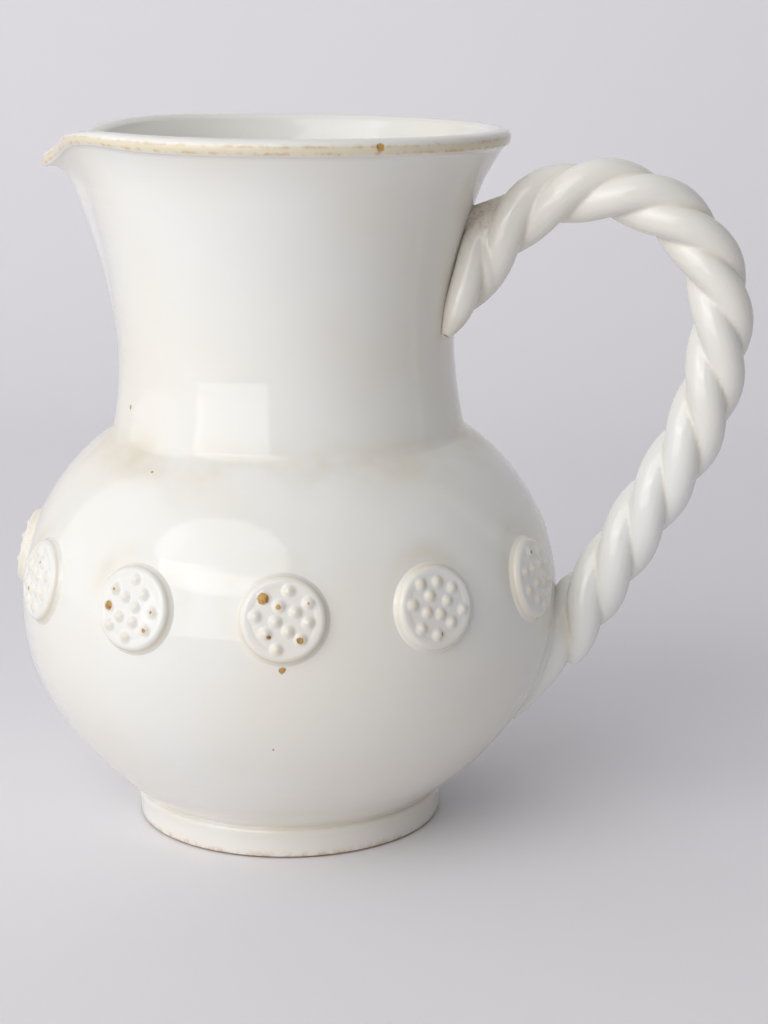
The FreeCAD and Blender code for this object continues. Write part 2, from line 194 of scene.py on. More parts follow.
FOOT_CREASE = (46.8, 9.6)
BELLY = (83.2, 70.0)
SEAM = (54.2, 123.6)
outline = [(0.0, 4.5)]
outline += straight(outline[-1], (38.1, 4.5), 9)
outline += straight(outline[-1], (41.1, 0.3), 3)
outline += bowed(outline[-1], (46.6, 0.2), 0.2, 4)
outline += bowed(outline[-1], (47.6, 1.2), 0.25, 3)
outline += bowed(outline[-1], (48.3, 8.3), -0.2, 5)
outline += bowed(outline[-1], FOOT_CREASE, 0.3, 3)
outline += bowed(outline[-1], (76.4, 42.5), 2.4, 24)
outline += through(outline[-1], (81.6, 56.0), BELLY, 16)
outline += through(outline[-1], (77.43, 97.1), SEAM, 34)
outline += bowed(outline[-1], (51.2, 147.0), -0.5, 12)
outline += bowed(outline[-1], (58.3, 195.5), -1.9, 24)
outline += bowed(outline[-1], (65.7, 210.8), -0.8, 11)
outline += bowed(outline[-1], (67.1, 211.8), 0.25, 5)
outline += bowed(outline[-1], (67.3, 213.7), 0.12, 6)
outline += bowed(outline[-1], (65.0, 215.6), 0.6, 6)
outline += bowed(outline[-1], (62.0, 215.0), 0.45, 5)
outline += bowed(outline[-1], (60.9, 213.4), 0.3, 3)
outline += bowed(outline[-1], (53.5, 195.5), 0.7, 10)
outline += bowed(outline[-1], (46.4, 147.0), 1.9, 18)
outline += bowed(outline[-1], (49.2, SEAM[1]), 0.5, 8)
outline += through(outline[-1], (72.5, 97.0), (78.2, 70.0), 22)
outline += through(outline[-1], (76.7, 56.0), (71.4, 42.5), 10)
outline += bowed(outline[-1], (28.0, 10.5), -6.5, 16)
outline += straight(outline[-1], (0.0, 10.5), 7)
print("points in the outline:", len(outline))

# %% [markdown]
# The glaze fills every sharp corner. So the corners of the outline, at the seam between belly and neck and
# over the foot, are rounded by a bevel while it is still a line. Then it is spun, its ends on the axis
# are merged, and the faces are turned outwards.

# %% Turn the outline once round the axis
def rounded_corner(line, place, reach):
    wanted = (place[0] * MM, place[1] * MM)
    pick(line, lambda p: math.hypot(p.x - wanted[0], p.z - wanted[1]) < 0.00002)
    bpy.ops.mesh.bevel(offset=reach, segments=5, affect="VERTICES")
    bpy.ops.object.mode_set(mode="OBJECT")


def turned(line, steps):
    """Spins a line round the upright axis and closes it."""
    hold(line)
    bpy.ops.object.mode_set(mode="EDIT")
    bpy.ops.mesh.select_all(action="SELECT")
    bpy.ops.mesh.spin(steps=steps, angle=math.tau, center=(0, 0, 0), axis=(0, 0, 1))
    bpy.ops.mesh.select_all(action="SELECT")
    bpy.ops.mesh.remove_doubles(threshold=0.00001)
    bpy.ops.mesh.normals_make_consistent(inside=False)
    bpy.ops.object.mode_set(mode="OBJECT")
    return line


body = drawn_line("thrown_body", [(r * MM, 0.0, z * MM) for r, z in outline])
rounded_corner(body, SEAM, 0.0018)
rounded_corner(body, FOOT_CREASE, 0.0010)
body = turned(body, 240)
count(body)

# %% [markdown]
# Where glaze runs thin over an edge the brown clay shows through: along both edges of the band of the rim,
# and under the foot, which stands bare. On the band itself and round the discs it is thick and cream. In the
# creases the cream tint is partly thick glaze and partly painted shade. Such edges could be painted by hand,
# but here each is known as a radius and a height. They are noted on the points now, while the body is still
# truly round, so that the notes follow the lip when it is pulled.

# %% Note where the glaze is thin or stained, and the painted shade in the creases
def near(value, middle, width):
    """1 at the middle, with a soft fall to both sides."""
    return math.exp(-(((value - middle) / width) ** 2))


def radius_and_height(p):
    return math.hypot(p.x, p.y) / MM, p.z / MM


def thin_glaze(p):
    r, z = radius_and_height(p)
    rim = near(math.hypot(r - 67.2, z - 211.8), 0, 0.5) + near(math.hypot(r - 67.2, z - 213.8), 0, 0.4)
    foot = near(math.hypot(r - 47.3, z - 0.7), 0, 0.8)
    return min(1.0, rim + foot)


def bare(p):
    r, z = radius_and_height(p)
    return 1.0 if z < 0.6 and r > 40.0 else 0.0


def banded(p):
    r, z = radius_and_height(p)
    between_edges = share_between(211.2, 211.8, z) * (1 - share_between(213.7, 214.3, z))
    return share_between(65.9, 66.7, r) * between_edges


DISC_HEIGHT = 84.5
DISC_START, DISC_STEP = 18.0, 31.3


def crease_shade_and_stain(p):
    """Painted shade with thick glaze in the crease at the shoulder and the one over the foot, and a stain over
    each disc.
    """
    r, z = radius_and_height(p)
    # Painted shade: a cream tint darkens the shoulder crease and the one over the foot, where the glaze also
    # lies thick.
    shaded_crease = near(z, 121.5, 5.5) * (r > 50)
    foot = 0.5 * near(math.hypot(r - 47.0, z - 9.5), 0, 2.5)
    around = math.degrees(math.atan2(p.y, p.x)) + DISC_START
    gap = (around + DISC_STEP / 2) % DISC_STEP - DISC_STEP / 2
    reach = math.hypot(math.radians(gap) * r, z - DISC_HEIGHT)
    halo = 0.75 * near(reach, 15.0, 3.0) * share_between(-12, 10, z - DISC_HEIGHT) * (r > 70)
    return min(1.0, shaded_crease + foot + halo)


noted(body, "thin", thin_glaze)
noted(body, "bare", bare)
noted(body, "band", banded)
noted(body, "cream_and_crease_shade", crease_shade_and_stain)
print("notes on the body:", [note.name for note in body.data.attributes if note.data_type == "FLOAT"])

# %% [markdown]
# The lip is pulled with a fingertip while two fingers hold the rim beside it. It could be a separate spout
# that is joined on, but the real one is the rim itself. So it is one push outwards, which fades quickly to
# both sides and slowly down the neck, and one push down of the rim alone, wider at the front than at the
# back. The middle of the trough is rounded like a fingertip.

# %% Pull the lip
LIP_REACH = 0.0084
LIP_DROP = 0.0089
LIP_ROUND = 0.05
LIP_SPAN = math.radians(40)
LIP_HEIGHT = 0.086
RIM_START, RIM_HEIGHT = 0.190, 0.021
OUTWARD_FALL = (0.215, 1.5)
FRONT_FALL, BACK_FALL = (0.423, 1.33), (0.225, 0.96)


def beside_lip(p, width, power):
    """Share that is left at this distance round the neck from the middle of the lip."""
    away = math.hypot(math.atan2(p.y, -p.x) / LIP_SPAN, LIP_ROUND) - LIP_ROUND
    return math.exp(-((away / width) ** power))


def lip_out(p):
    if p.x > 0 or p.z < SEAM[1] * MM:
        return 0.0
    up = min(1.0, (p.z - SEAM[1] * MM) / LIP_HEIGHT)
    return beside_lip(p, *OUTWARD_FALL) * up**1.35


def lip_down(p):
    if p.x > 0:
        return 0.0
    up = min(1.0, max(0.0, (p.z - RIM_START) / RIM_HEIGHT))
    return beside_lip(p, *(FRONT_FALL if p.y < 0 else BACK_FALL)) * up**3


pressed(body, "X", -LIP_REACH, lip_out)
pressed(body, "Z", -LIP_DROP, lip_down)
print("lip reaches x =", round(min(v.co.x for v in body.data.vertices), 4))

# %% [markdown]
# No hand-thrown jug is quite round or upright. The rim's lower edge rises where the lip starts, the neck and
# the foot stand a little off the middle, and the rim sinks a little towards the handle. Each is under 1.3 mm
# and could be left out, but without them the outline looks machined.

# %% Let the neck lean and the rim sink
RIM_LIFT = RIM_SINK = 0.0012
NECK_LEAN = FOOT_SHIFT = 0.0008
RIM_RADIUS = 0.067


def lifted_beside(p):
    away = math.degrees(abs(math.atan2(p.y, -p.x)))
    under_band = share_between(0.200, 0.2105, p.z) * (1 - 0.7 * share_between(0.2125, 0.2145, p.z))
    return near(away, 42.0, 17.0) * under_band


def leaning(p):
    return share_between(0.124, 0.175, p.z) - share_between(0.188, 0.208, p.z)


def on_foot(p):
    return 1 - share_between(0.009, 0.022, p.z)


def tilted(p):
    return min(1.0, max(0.0, (p.x + RIM_RADIUS) / (2 * RIM_RADIUS))) * share_between(0.185, 0.21, p.z)


pressed(body, "Z", RIM_LIFT, lifted_beside)
pressed(body, "X", -NECK_LEAN, leaning)
pressed(body, "X", -FOOT_SHIFT, on_foot)
pressed(body, "Z", -RIM_SINK, tilted)
print("rim stands at z =", round(max(v.co.z for v in body.data.vertices), 4))

# %% [markdown]
# ## The twisted handle
# Three clay rolls as thick as a pencil are twisted into a rope, bent into a big loop and pressed to the
# neck and the belly. The rope's line is a root arc, a crown, a long side and a straight tail. Each roll
# could be a screw-shaped sweep of the whole section, but the rolls part at both joints, so each one gets a
# line of its own: it runs round the rope's line at a fixed distance and leaves it where its end is pressed
# down.

# %% The line of the rope
CROWN, CROWN_RADIUS = (93.7, 160.0), 37.3
SIDE_RADIUS, SIDE_BEND = 89.5, math.radians(30.4)
ROOT_RADIUS, ROOT_SWEEP = 80.0, math.radians(24.5)
RISE = math.radians(138.5)
TAIL_END = 38.0
LAY = 56.5
ROLL_RADIUS = 5.55
ROLL_OFFSET = 4.05
FIRST_TURN = 150.0
TURN_SHIFT = 1.0
ROOT_SWING, SWING_RUN = 12.0, 48.0

root_centre = (
    CROWN[0] + (CROWN_RADIUS - ROOT_RADIUS) * math.cos(RISE),
    CROWN[1] + (CROWN_RADIUS - ROOT_RADIUS) * math.sin(RISE),
)
side_centre = (CROWN[0] + CROWN_RADIUS - SIDE_RADIUS, CROWN[1])
rope_arcs = (
    (root_centre, ROOT_RADIUS, RISE + ROOT_SWEEP, ROOT_SWEEP),
    (CROWN, CROWN_RADIUS, RISE, RISE),
    (side_centre, SIDE_RADIUS, 0.0, SIDE_BEND),
)
knee = (
    side_centre[0] + SIDE_RADIUS * math.cos(SIDE_BEND),
    side_centre[1] - SIDE_RADIUS * math.sin(SIDE_BEND),
)
tail_length = (knee[1] - TAIL_END) / math.cos(SIDE_BEND)
rope_length = sum(radius * sweep for _, radius, _, sweep in rope_arcs) + tail_length
crown_top = ROOT_RADIUS * ROOT_SWEEP + CROWN_RADIUS * (RISE - math.pi / 2)


def on_rope(distance):
    """Place on the rope's line, and the line's direction, both in the handle's upright plane."""
    for (x, z), radius, start, sweep in rope_arcs:
        if distance <= radius * sweep:
            angle = start - distance / radius
            place = (x + radius * math.cos(angle), z + radius * math.sin(angle))
            return place, (math.sin(angle), -math.cos(angle))
        distance -= radius * sweep
    along = (-math.sin(SIDE_BEND), -math.cos(SIDE_BEND))
    return (knee[0] + along[0] * distance, knee[1] + along[1] * distance), along


def roll_place(distance, roll, offset):
    """Place of a roll's middle, offset from the rope's line. The rope's root swings to the front."""
    (x, z), (run, rise) = on_rope(distance)
    turn = math.radians(FIRST_TURN + 120 * roll) - math.tau * (distance - crown_top + TURN_SHIFT) / LAY
    out, front = offset * math.cos(turn), offset * math.sin(turn)
    swing = ROOT_SWING * max(0.0, 1 - distance / SWING_RUN) ** 2
    return (x - rise * out, -swing - front, z + run * out)


print("rope length:", round(rope_length, 1), "mm, crown at", round(crown_top, 1), "mm")

# %% [markdown]
# A roll becomes thinner towards an end that is pressed down. The line of points is turned into a smooth
# curve, its points get their own thickness, and a round bevel makes it a roll. Where the rolls part, their
# ends leave the rope's line, so those places are given one by one, as across, deep and high in millimetres
# with the thickness there. At the neck the first roll ends in the drop at the front, the third in a ridge
# beside it, and a pad of clay fills the gap above. At the belly the third roll's tip is tucked against the
# first, which runs down the wall as a tail.

# %% Lay the three rolls
STEP = 3.0
DROP = (
    (50.1, -14.0, 154.6, 1.3), (51.2, -13.5, 156.6, 2.6), (53.0, -12.5, 160.5, 4.1), (54.5, -11.3, 164.9, 4.7),
    (55.6, -10.0, 169.2, 4.8), (56.5, -8.3, 173.8, 4.6), (57.2, -6.5, 178.0, 4.5), (58.2, -4.5, 181.7, 4.7),
)
RIDGE = (
    (60.0, -3.5, 165.5, 1.8), (61.6, -6.2, 169.0, 2.6), (61.5, -7.2, 173.1, 3.1), (61.0, -6.8, 177.5, 3.4),
    (60.6, -5.3, 182.4, 3.7), (60.9, -2.8, 187.0, 4.2), (64.5, 0.5, 189.5, 4.6), (70.0, 2.0, 191.0, 4.8),
)
PAD = ((53.0, 0.5, 186.5, 4.2), (58.0, 0.5, 187.5, 4.5), (64.0, 1.0, 189.8, 5.0), (70.0, 2.0, 191.5, 5.0))
TAIL = (
    (88.6, 2.4, 74.8, 5.5), (86.1, 0.9, 69.3, 5.4), (84.8, -0.6, 64.8, 5.3), (84.0, -2.0, 61.4, 5.2),
    (83.6, -4.0, 56.2, 5.0), (82.5, -5.0, 52.5, 4.6), (80.2, -6.0, 48.9, 4.1), (77.2, -6.5, 44.4, 3.5),
    (73.9, -7.0, 39.8, 2.8), (70.2, -7.0, 35.4, 2.0),
)
TIP = (
    (92.6, -4.0, 68.7, 5.4), (92.4, -4.0, 64.9, 5.2), (92.0, -3.5, 61.5, 4.6), (91.2, -3.0, 58.1, 3.9),
    (90.0, -2.5, 55.0, 3.0), (88.5, -2.0, 52.2, 2.0),
)


def tapered(along, run):
    """Thickness at this distance from an end whose taper is run long."""
    if along >= run:
        return 1.0
    return 0.3 + 0.7 * math.sin(along / run * math.pi / 2)


def roll_line(roll, first, last, root_run=0.0, tail_run=0.0):
    """Places of a roll with its thickness, from one distance along the rope to another."""
    steps = round((last - first) / STEP)
    line = []
    for step in range(steps + 1):
        distance = first + (last - first) * step / steps
        size = min(tapered(distance - first, root_run), tapered(last - distance, tail_run))
        line.append((*roll_place(distance, roll, ROLL_OFFSET * size), ROLL_RADIUS * size))
    return line


def laid_roll(name, line):
    """Makes a round roll along places that are given with their thickness."""
    drawn_line(name, [(x * MM, y * MM, z * MM) for x, y, z, size in line])
    bpy.ops.object.convert(target="CURVE")
    roll = bpy.context.object
    bpy.ops.object.mode_set(mode="EDIT")
    bpy.ops.curve.select_all(action="SELECT")
    bpy.ops.curve.spline_type_set(type="NURBS")
    bpy.ops.object.mode_set(mode="OBJECT")
    curve = roll.data
    curve.dimensions = "3D"
    curve.bevel_depth = MM
    curve.bevel_resolution = 8
    curve.use_fill_caps = True
    spline = curve.splines[0]
    spline.order_u = 4
    spline.use_endpoint_u = True
    spline.resolution_u = 3
    first = spline.points[0].co.xyz / MM
    backwards = math.dist(first, line[0][:3]) > math.dist(first, line[-1][:3])
    for point, (x, y, z, size) in zip(reversed(spline.points) if backwards else spline.points, line):
        point.radius = size
    bpy.ops.object.convert(target="MESH")
    return bpy.context.object


def wall_radius(z):
    """Radius of the outside of the jug at this height."""
    for (r1, z1), (r2, z2) in zip(outline, outline[1:]):
        if z1 <= z < z2:
            return r1 + (r2 - r1) * (z - z1) / (z2 - z1)
    return 0.0


def webbed(line, turn, sink):
    """A lower roll beside this one, mostly sunk in the wall, as the glaze fills that corner."""
    web = []
    for step, (x, y, z, size) in enumerate(line):
        around, reach = math.atan2(y, x) + math.radians(turn), wall_radius(z) - sink
        ends = math.sin(math.pi * (step + 0.4) / len(line)) ** 0.4
        web.append((reach * math.cos(around), reach * math.sin(around), z, 0.8 * size * ends))
    return web


lines = {
    "roll_1": [*DROP, *roll_line(0, 30.0, 219.0), *TAIL],
    "roll_2": roll_line(1, 0.0, 246.0, 16.0, 30.0),
    "roll_3": [*roll_line(2, 14.0, 222.0, 12.0), *TIP],
    "ridge": RIDGE,
    "pad": PAD,
    "tail_web_front": webbed(TAIL[1:], -3.6, 2.5),
    "tail_web_back": webbed(TAIL[1:], 3.6, 2.5),
}
rolls = [laid_roll(name, line) for name, line in lines.items()]
for roll in rolls:
    count(roll)

# %% [markdown]
# The glaze joins the rolls and rounds the grooves between them. So they are made one skin by a voxel
# remesh, which is fine enough to keep the grooves, and smoothed a little.

# %% Join the rolls under one skin of glaze
VOXEL = 0.00055


def joined(pieces, name):
    let_go()
    for piece in pieces:
        piece.select_set(True)
    bpy.context.view_layer.objects.active = pieces[0]
    bpy.ops.object.join()
    piece = bpy.context.object
    piece.name = name
    return piece


def one_skin(piece, voxel, smoothing):
    hold(piece)
    piece.data.remesh_voxel_size = voxel
    piece.data.remesh_voxel_adaptivity = 0.0
    bpy.ops.object.voxel_remesh()
    relax = piece.modifiers.new("relax", "SMOOTH")
    relax.factor = 0.5
    relax.iterations = smoothing
    bpy.ops.object.modifier_apply(modifier="relax")


rope = joined(rolls, "twisted_handle")
one_skin(rope, VOXEL, 6)
count(rope)

# %% [markdown]
# On the rope the glaze runs off the rolls and gathers in the grooves between them, and a darker cream tint
# paints shade into the grooves as well. A groove is where the skin is close to the rope's line, and a tree of
# places finds the nearest one quickly. The upper joint is brown and gritty and is darkened with painted shade
# too, and at the tip of the drop a crumb of glaze is chipped off.

# %% Note the painted shade in the grooves, the shaded grit and the chip
SHADED_GRIT_PLACE = mathutils.Vector((0.0590, -0.002, 0.1885))
DROP_TIP = mathutils.Vector((0.0500, -0.0150, 0.1542))
line_tree = mathutils.kdtree.KDTree(int(rope_length) + 1)
for step in range(int(rope_length) + 1):
    x, y, z = roll_place(step, 0, 0.0)
    line_tree.insert((x * MM, y * MM, z * MM), step)
line_tree.balance()


# Painted shade: the grooves get a darker cream tint, together with the glaze that gathers there.
def groove_shade(p):
    away = line_tree.find(p)[2]
    return 1 - share_between(6.2, 8.3, away / MM)


# Painted shade: the brown at the upper joint is partly gritty clay and partly the shade in that joint.
def shaded_grit(p):
    return near((p - SHADED_GRIT_PLACE).length, 0.0, 0.0075)


def drop_tip(p):
    return near((p - DROP_TIP).length, 0.0, 0.0013)


noted(rope, "cream_and_crease_shade", groove_shade)
noted(rope, "grit_and_shade", shaded_grit)
noted(rope, "chip", drop_tip)
print("places along the rope's line:", int(rope_length) + 1)

# %% [markdown]
# ## The pressed discs
# Eleven small cakes of clay were pressed to the belly with a carved stamp, which left a soft, round edge and
# twelve dots in a nearly flat face. The glaze runs down from the edge to the wall as a wide skirt. The dots
# could be separate balls, but they are one skin with the disc. So one disc is turned from its outline like
# the jug, with a closed back that stays inside the wall, and its dots are pushed up as soft domes.

# %% Turn one disc and raise its dots
DISC_RADIUS = 11.6
EDGE_RADIUS = 12.2
DOT_RADIUS = 2.05
DOT_HEIGHT = 1.1 * MM
DOTS = (
    (-0.45, 0.52), (-0.08, 0.32), (0.15, 0.69), (0.31, 0.18), (0.62, 0.39), (-0.66, 0.08),
    (-0.17, -0.05), (0.62, -0.08), (0.13, -0.29), (0.43, -0.48), (-0.41, -0.35), (-0.15, -0.72),
)

disc_outline = [(0.0, 2.1)]
disc_outline += straight(disc_outline[-1], (8.9, 2.2), 26)
disc_outline += bowed(disc_outline[-1], (10.4, 2.45), -0.05, 5)
disc_outline += bowed(disc_outline[-1], (12.1, 1.2), -0.45, 10)
disc_outline += bowed(disc_outline[-1], (13.0, 0.25), 0.05, 5)
disc_outline += bowed(disc_outline[-1], (14.7, -0.4), 0.2, 6)
disc_outline += straight(disc_outline[-1], (13.9, -1.0), 1)
disc_outline += straight(disc_outline[-1], (0.0, -1.0), 1)
disc = turned(drawn_line("pressed_disc", [(r * MM, 0.0, z * MM) for r, z in disc_outline]), 120)


def dots(p):
    """Soft domes: 1 on the top of a dot and 0 outside all of them."""
    x, y = p.x / MM, p.y / MM
    away = min(math.hypot(x - across * DISC_RADIUS, y - up * DISC_RADIUS) for across, up in DOTS)
    return math.cos(min(1.0, away / DOT_RADIUS) * math.pi / 2) ** 1.3


def buff(p):
    """The tops of the dots and the disc's edge, where the glaze is thinner."""
    return max(dots(p), 0.8 * near(math.hypot(p.x, p.y) / MM, EDGE_RADIUS, 0.7))


pressed(disc, "Z", DOT_HEIGHT, dots)
noted(disc, "dots", buff)
count(disc)

# %% [markdown]
# The disc is copied for each place and bent to the wall there. Each copy is turned its own way, as the stamp
# was. On some dots the glaze is chipped off, which is noted for each disc as across, up and size, before it
# is turned. The chips could be cut into the mesh, but they are no deeper than the glaze.

# %% Press a copy of the disc to the wall at each place
DISC_COUNT = 11
CHIPPED = {
    1: ((0.15, 0.69, 0.5),),
    2: ((-0.66, -0.03, 0.5),),
    3: ((-0.47, 0.50, 1.6), (-0.10, 0.31, 0.75), (0.41, -0.50, 0.95), (-0.33, -0.42, 0.6), (0.62, 0.39, 0.35)),
    4: ((0.62, -0.08, 1.3), (-0.45, 0.52, 0.6), (-0.66, 0.08, 0.4), (0.43, -0.48, 0.45)),
    5: ((0.31, 0.18, 0.6), (-0.41, -0.35, 0.4)),
    7: ((-0.15, -0.72, 0.9), (0.62, 0.39, 0.4)),
    9: ((0.13, -0.29, 0.7),),
    10: ((-0.08, 0.32, 0.5), (0.43, -0.48, 0.8)),
}
WALL_ROUND = 64.03
SEAT_RISE = DISC_HEIGHT - BELLY[1]
SEAT_REACH = BELLY[0] - WALL_ROUND + math.sqrt(WALL_ROUND**2 - SEAT_RISE**2)
SEAT_TILT = math.asin(SEAT_RISE / WALL_ROUND)
BEND = 2.0
BEND_ACROSS, BEND_UP = 83.7, 62.0
STAMP_TURNS = (25, 90, 0, 187, 205, 262, 310, 48, 170, 228, 98)


def bend_share(p):
    """How far the flat disc bends back to lie on the wall, as a share of the whole bend."""
    x, y = p.x / MM, p.y / MM
    return min(1.0, (x * x / (2 * BEND_ACROSS) + y * y / (2 * BEND_UP)) / BEND)


def chipped(p, chips):
    """1 in the middle of a chip, 0.5 at its edge."""
    shares = [0.0]
    for across, up, size in chips:
        away = math.hypot(p.x / MM - across * DISC_RADIUS, p.y / MM - up * DISC_RADIUS)
        shares.append(1 - away / (2 * size))
    return max(shares)


def turned_by(piece, angles):
    hold(piece)
    piece.rotation_euler = angles
    bpy.ops.object.transform_apply(location=False, rotation=True, scale=False)


discs = []
for place in range(DISC_COUNT):
    hold(disc)
    bpy.ops.object.duplicate()
    copy = bpy.context.object
    copy.name = f"pressed_disc_{place + 1:02d}"
    chips = CHIPPED.get(place + 1, ())
    noted(copy, "chip", lambda p: chipped(p, chips))
    turned_by(copy, (0, 0, math.radians(STAMP_TURNS[place])))
    pressed(copy, "Z", -BEND * MM, bend_share)
    around = math.radians(-DISC_START - DISC_STEP * place)
    turned_by(copy, (math.pi / 2 - SEAT_TILT, 0, around + math.pi / 2))
    copy.location = (
        SEAT_REACH * math.cos(around) * MM, SEAT_REACH * math.sin(around) * MM, DISC_HEIGHT * MM
    )
    bpy.ops.object.transform_apply(location=True, rotation=True, scale=True)
    discs.append(copy)
bpy.data.objects.remove(disc)
print("discs pressed on:", len(discs))

# %% [markdown]
# Everything is smooth under the glaze, so the shading is smooth as well. Each piece then hangs from the root
# body, and the solids of the imported model that it stands for are hidden.

# %% Put the pieces in the place of the solids
def takes_over(piece, nodes):
    hold(piece)
    bpy.ops.object.shade_smooth()
    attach(piece, "root")
    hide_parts(*nodes)


takes_over(body, ["jug_body"])
takes_over(rope, ["handle_strand_1", "handle_strand_2", "handle_strand_3"])
for place, copy in enumerate(discs, start=1):
    takes_over(copy, [f"prunt_{place:02d}"])
print("solids replaced:", 4 + len(discs))

# %% [markdown]
# ## The glaze
# The finish is a thick tin-white glaze over brown clay: milky, not quite even, glossy like glass, cream
# where it lies thick in a crease, with painted shade in the creases and grooves, and ochre where it is
# chipped or thin. A shader is a sum of such layers. To write it as a sum, a small class gives a node's
# socket the signs for plus, minus and times.

# %% Shader sockets that add and multiply
class Wire:
    """A socket that is used like a number."""

    def __init__(self, finish, socket):
        self.finish = finish
        self.socket = socket

    def counted(self, operation, first, second):
        return self.finish.node("ShaderNodeMath", {"operation": operation}, {0: first, 1: second})

    def __add__(self, other):
        return self.counted("ADD", self, other)

    def __radd__(self, other):
        return self.counted("ADD", other, self)

    def __sub__(self, other):
        return self.counted("SUBTRACT", self, other)

    def __rsub__(self, other):
        return self.counted("SUBTRACT", other, self)

    def __mul__(self, other):
        return self.counted("MULTIPLY", self, other)

    def __rmul__(self, other):
        return self.counted("MULTIPLY", other, self)


class Tree:
    """The nodes of a material or of the room. Every node comes from the one method node()."""

    def __init__(self, owner):
        owner.use_nodes = True
        self.tree = owner.node_tree

    def node(self, kind, settings={}, values={}, out=0):
        made = self.tree.nodes.new(kind)
        for name, setting in settings.items():
            setattr(made, name, setting)
        for name, value in values.items():
            self.set(made.inputs[name], value)
        return Wire(self, made.outputs[out])

    def set(self, socket, value):
        if isinstance(value, Wire):
            self.tree.links.new(value.socket, socket)
        else:
            socket.default_value = value


class Finish(Tree):
    """A material in the making."""

    def __init__(self, name):
        self.material = bpy.data.materials.new(name)
        super().__init__(self.material)
        self.surface = self.tree.nodes["Principled BSDF"]
        self.place = self.node("ShaderNodeTexCoord", out="Object")

    def tinted(self, colour, other, share):
        return self.node("ShaderNodeMix", {"data_type": "RGBA"}, {0: share, 6: colour, 7: other}, out=2)

    def rise(self, value, low, high):
        """0 at low and 1 at high, with soft ends."""
        return self.node(
            "ShaderNodeMapRange", {"interpolation_type": "SMOOTHSTEP"}, {0: value, 1: low, 2: high}
        )

    def cloud(self, scale, detail=2.0, place=None):
        return self.node(
            "ShaderNodeTexNoise", {}, {"Vector": place or self.place, "Scale": scale, "Detail": detail}
        )

    def scaled(self, scale):
        return self.node("ShaderNodeVectorMath", {"operation": "MULTIPLY"}, {0: self.place, 1: scale})

    def noted(self, name):
        return self.node("ShaderNodeAttribute", {"attribute_name": name}, out="Fac")


def paint(red, green, blue):
    """A colour given as in a picture, from 0 to 255, as the shader wants it."""
    shares = [value / 255 for value in (red, green, blue)]
    return tuple(v / 12.92 if v <= 0.04045 else ((v + 0.055) / 1.055) ** 2.4 for v in shares) + (1.0,)


print("a middle grey for the shader:", round(paint(128, 128, 128)[0], 3))


# %% [markdown]
# The glaze is one recipe for all pieces, because they were dipped together. The notes on the points say where
# it is thin, thick, gritty, chipped or missing, and where shade is painted into the creases, the grooves and
# the gritty joint, and cloudy noise breaks their edges. A few specks have places of their own. Throwing rings
# and slow waves are too low to model, so they are in the bump.

# %% Make the glaze
MILK = paint(238, 237, 233)
WARM_MILK = paint(236, 232, 223)
# The cream of thick glaze, also used for the painted shade in the creases and grooves.
CREAM_AND_SHADE = paint(214, 201, 170)
BUFF = paint(226, 214, 186)
OCHRE = paint(196, 152, 78)
CLAY = paint(152, 116, 76)
SPOTS = (
    ((0.0371, -0.0561, 0.2126), 0.0012), ((0.0134, -0.0821, 0.0702), 0.0010),
    ((-0.0417, -0.0317, 0.1340), 0.0006), ((-0.0303, -0.0524, 0.1190), 0.0003),
    ((0.0095, -0.0771, 0.0450), 0.0003),
)


def glaze_recipe(name):
    glaze = Finish(name)
    clouds = glaze.cloud(14.0)
    crumbs = glaze.cloud(900.0, 3.0)
    wobble = glaze.cloud(1400.0) - 0.5
    colour = glaze.tinted(MILK, WARM_MILK, glaze.rise(clouds, 0.35, 0.65))
    stain = glaze.rise(glaze.cloud(45.0, 4.0), 0.3, 0.75)
    # Painted shade: the cream tint in creases and grooves is partly thick glaze and partly painted shade.
    colour = glaze.tinted(colour, CREAM_AND_SHADE, 0.6 * glaze.noted("cream_and_crease_shade") * stain)
    colour = glaze.tinted(colour, BUFF, 0.85 * glaze.noted("band"))
    colour = glaze.tinted(colour, BUFF, glaze.noted("dots") * (0.25 + 0.65 * stain))
    # Painted shade: the brown at the upper joint of the handle is partly gritty clay and partly painted shade.
    grit_and_shade = glaze.noted("grit_and_shade")
    colour = glaze.tinted(colour, CLAY, 0.3 * grit_and_shade + 0.3 * grit_and_shade * glaze.rise(crumbs, 0.55, 0.65))
    thin = glaze.noted("thin") * glaze.rise(glaze.cloud(420.0, 4.0), 0.4, 0.68)
    colour = glaze.tinted(colour, OCHRE, 0.62 * thin)
    chip = glaze.rise(glaze.noted("chip") + 0.35 * wobble, 0.42, 0.56)
    for spot, size in SPOTS:
        away = glaze.node("ShaderNodeVectorMath", {"operation": "DISTANCE"}, {0: glaze.place, 1: spot}, out=1)
        chip = chip + glaze.rise(away + 0.0012 * wobble, size * 1.15, size * 0.8)
    colour = glaze.tinted(colour, glaze.tinted(OCHRE, CLAY, glaze.rise(crumbs, 0.5, 0.62)), chip)
    bare = glaze.noted("bare")
    colour = glaze.tinted(colour, CLAY, 0.9 * bare)
    rings = glaze.cloud(1.0, 2.0, glaze.scaled((6.0, 6.0, 240.0)))
    waves = glaze.cloud(42.0, 1.0)
    height = 0.00012 * rings + 0.00030 * waves - 0.00015 * chip
    normal = glaze.node("ShaderNodeBump", {}, {"Strength": 1.0, "Distance": 1.0, "Height": height})
    glaze.set(glaze.surface.inputs["Base Color"], colour)
    glaze.set(glaze.surface.inputs["Roughness"], 0.09 + 0.5 * chip + 0.6 * bare + 0.15 * thin)
    glaze.set(glaze.surface.inputs["Normal"], normal)
    glaze.surface.inputs["IOR"].default_value = 1.5
    return glaze.material


def finished(piece, material):
    piece.data.materials.clear()
    piece.data.materials.append(material)


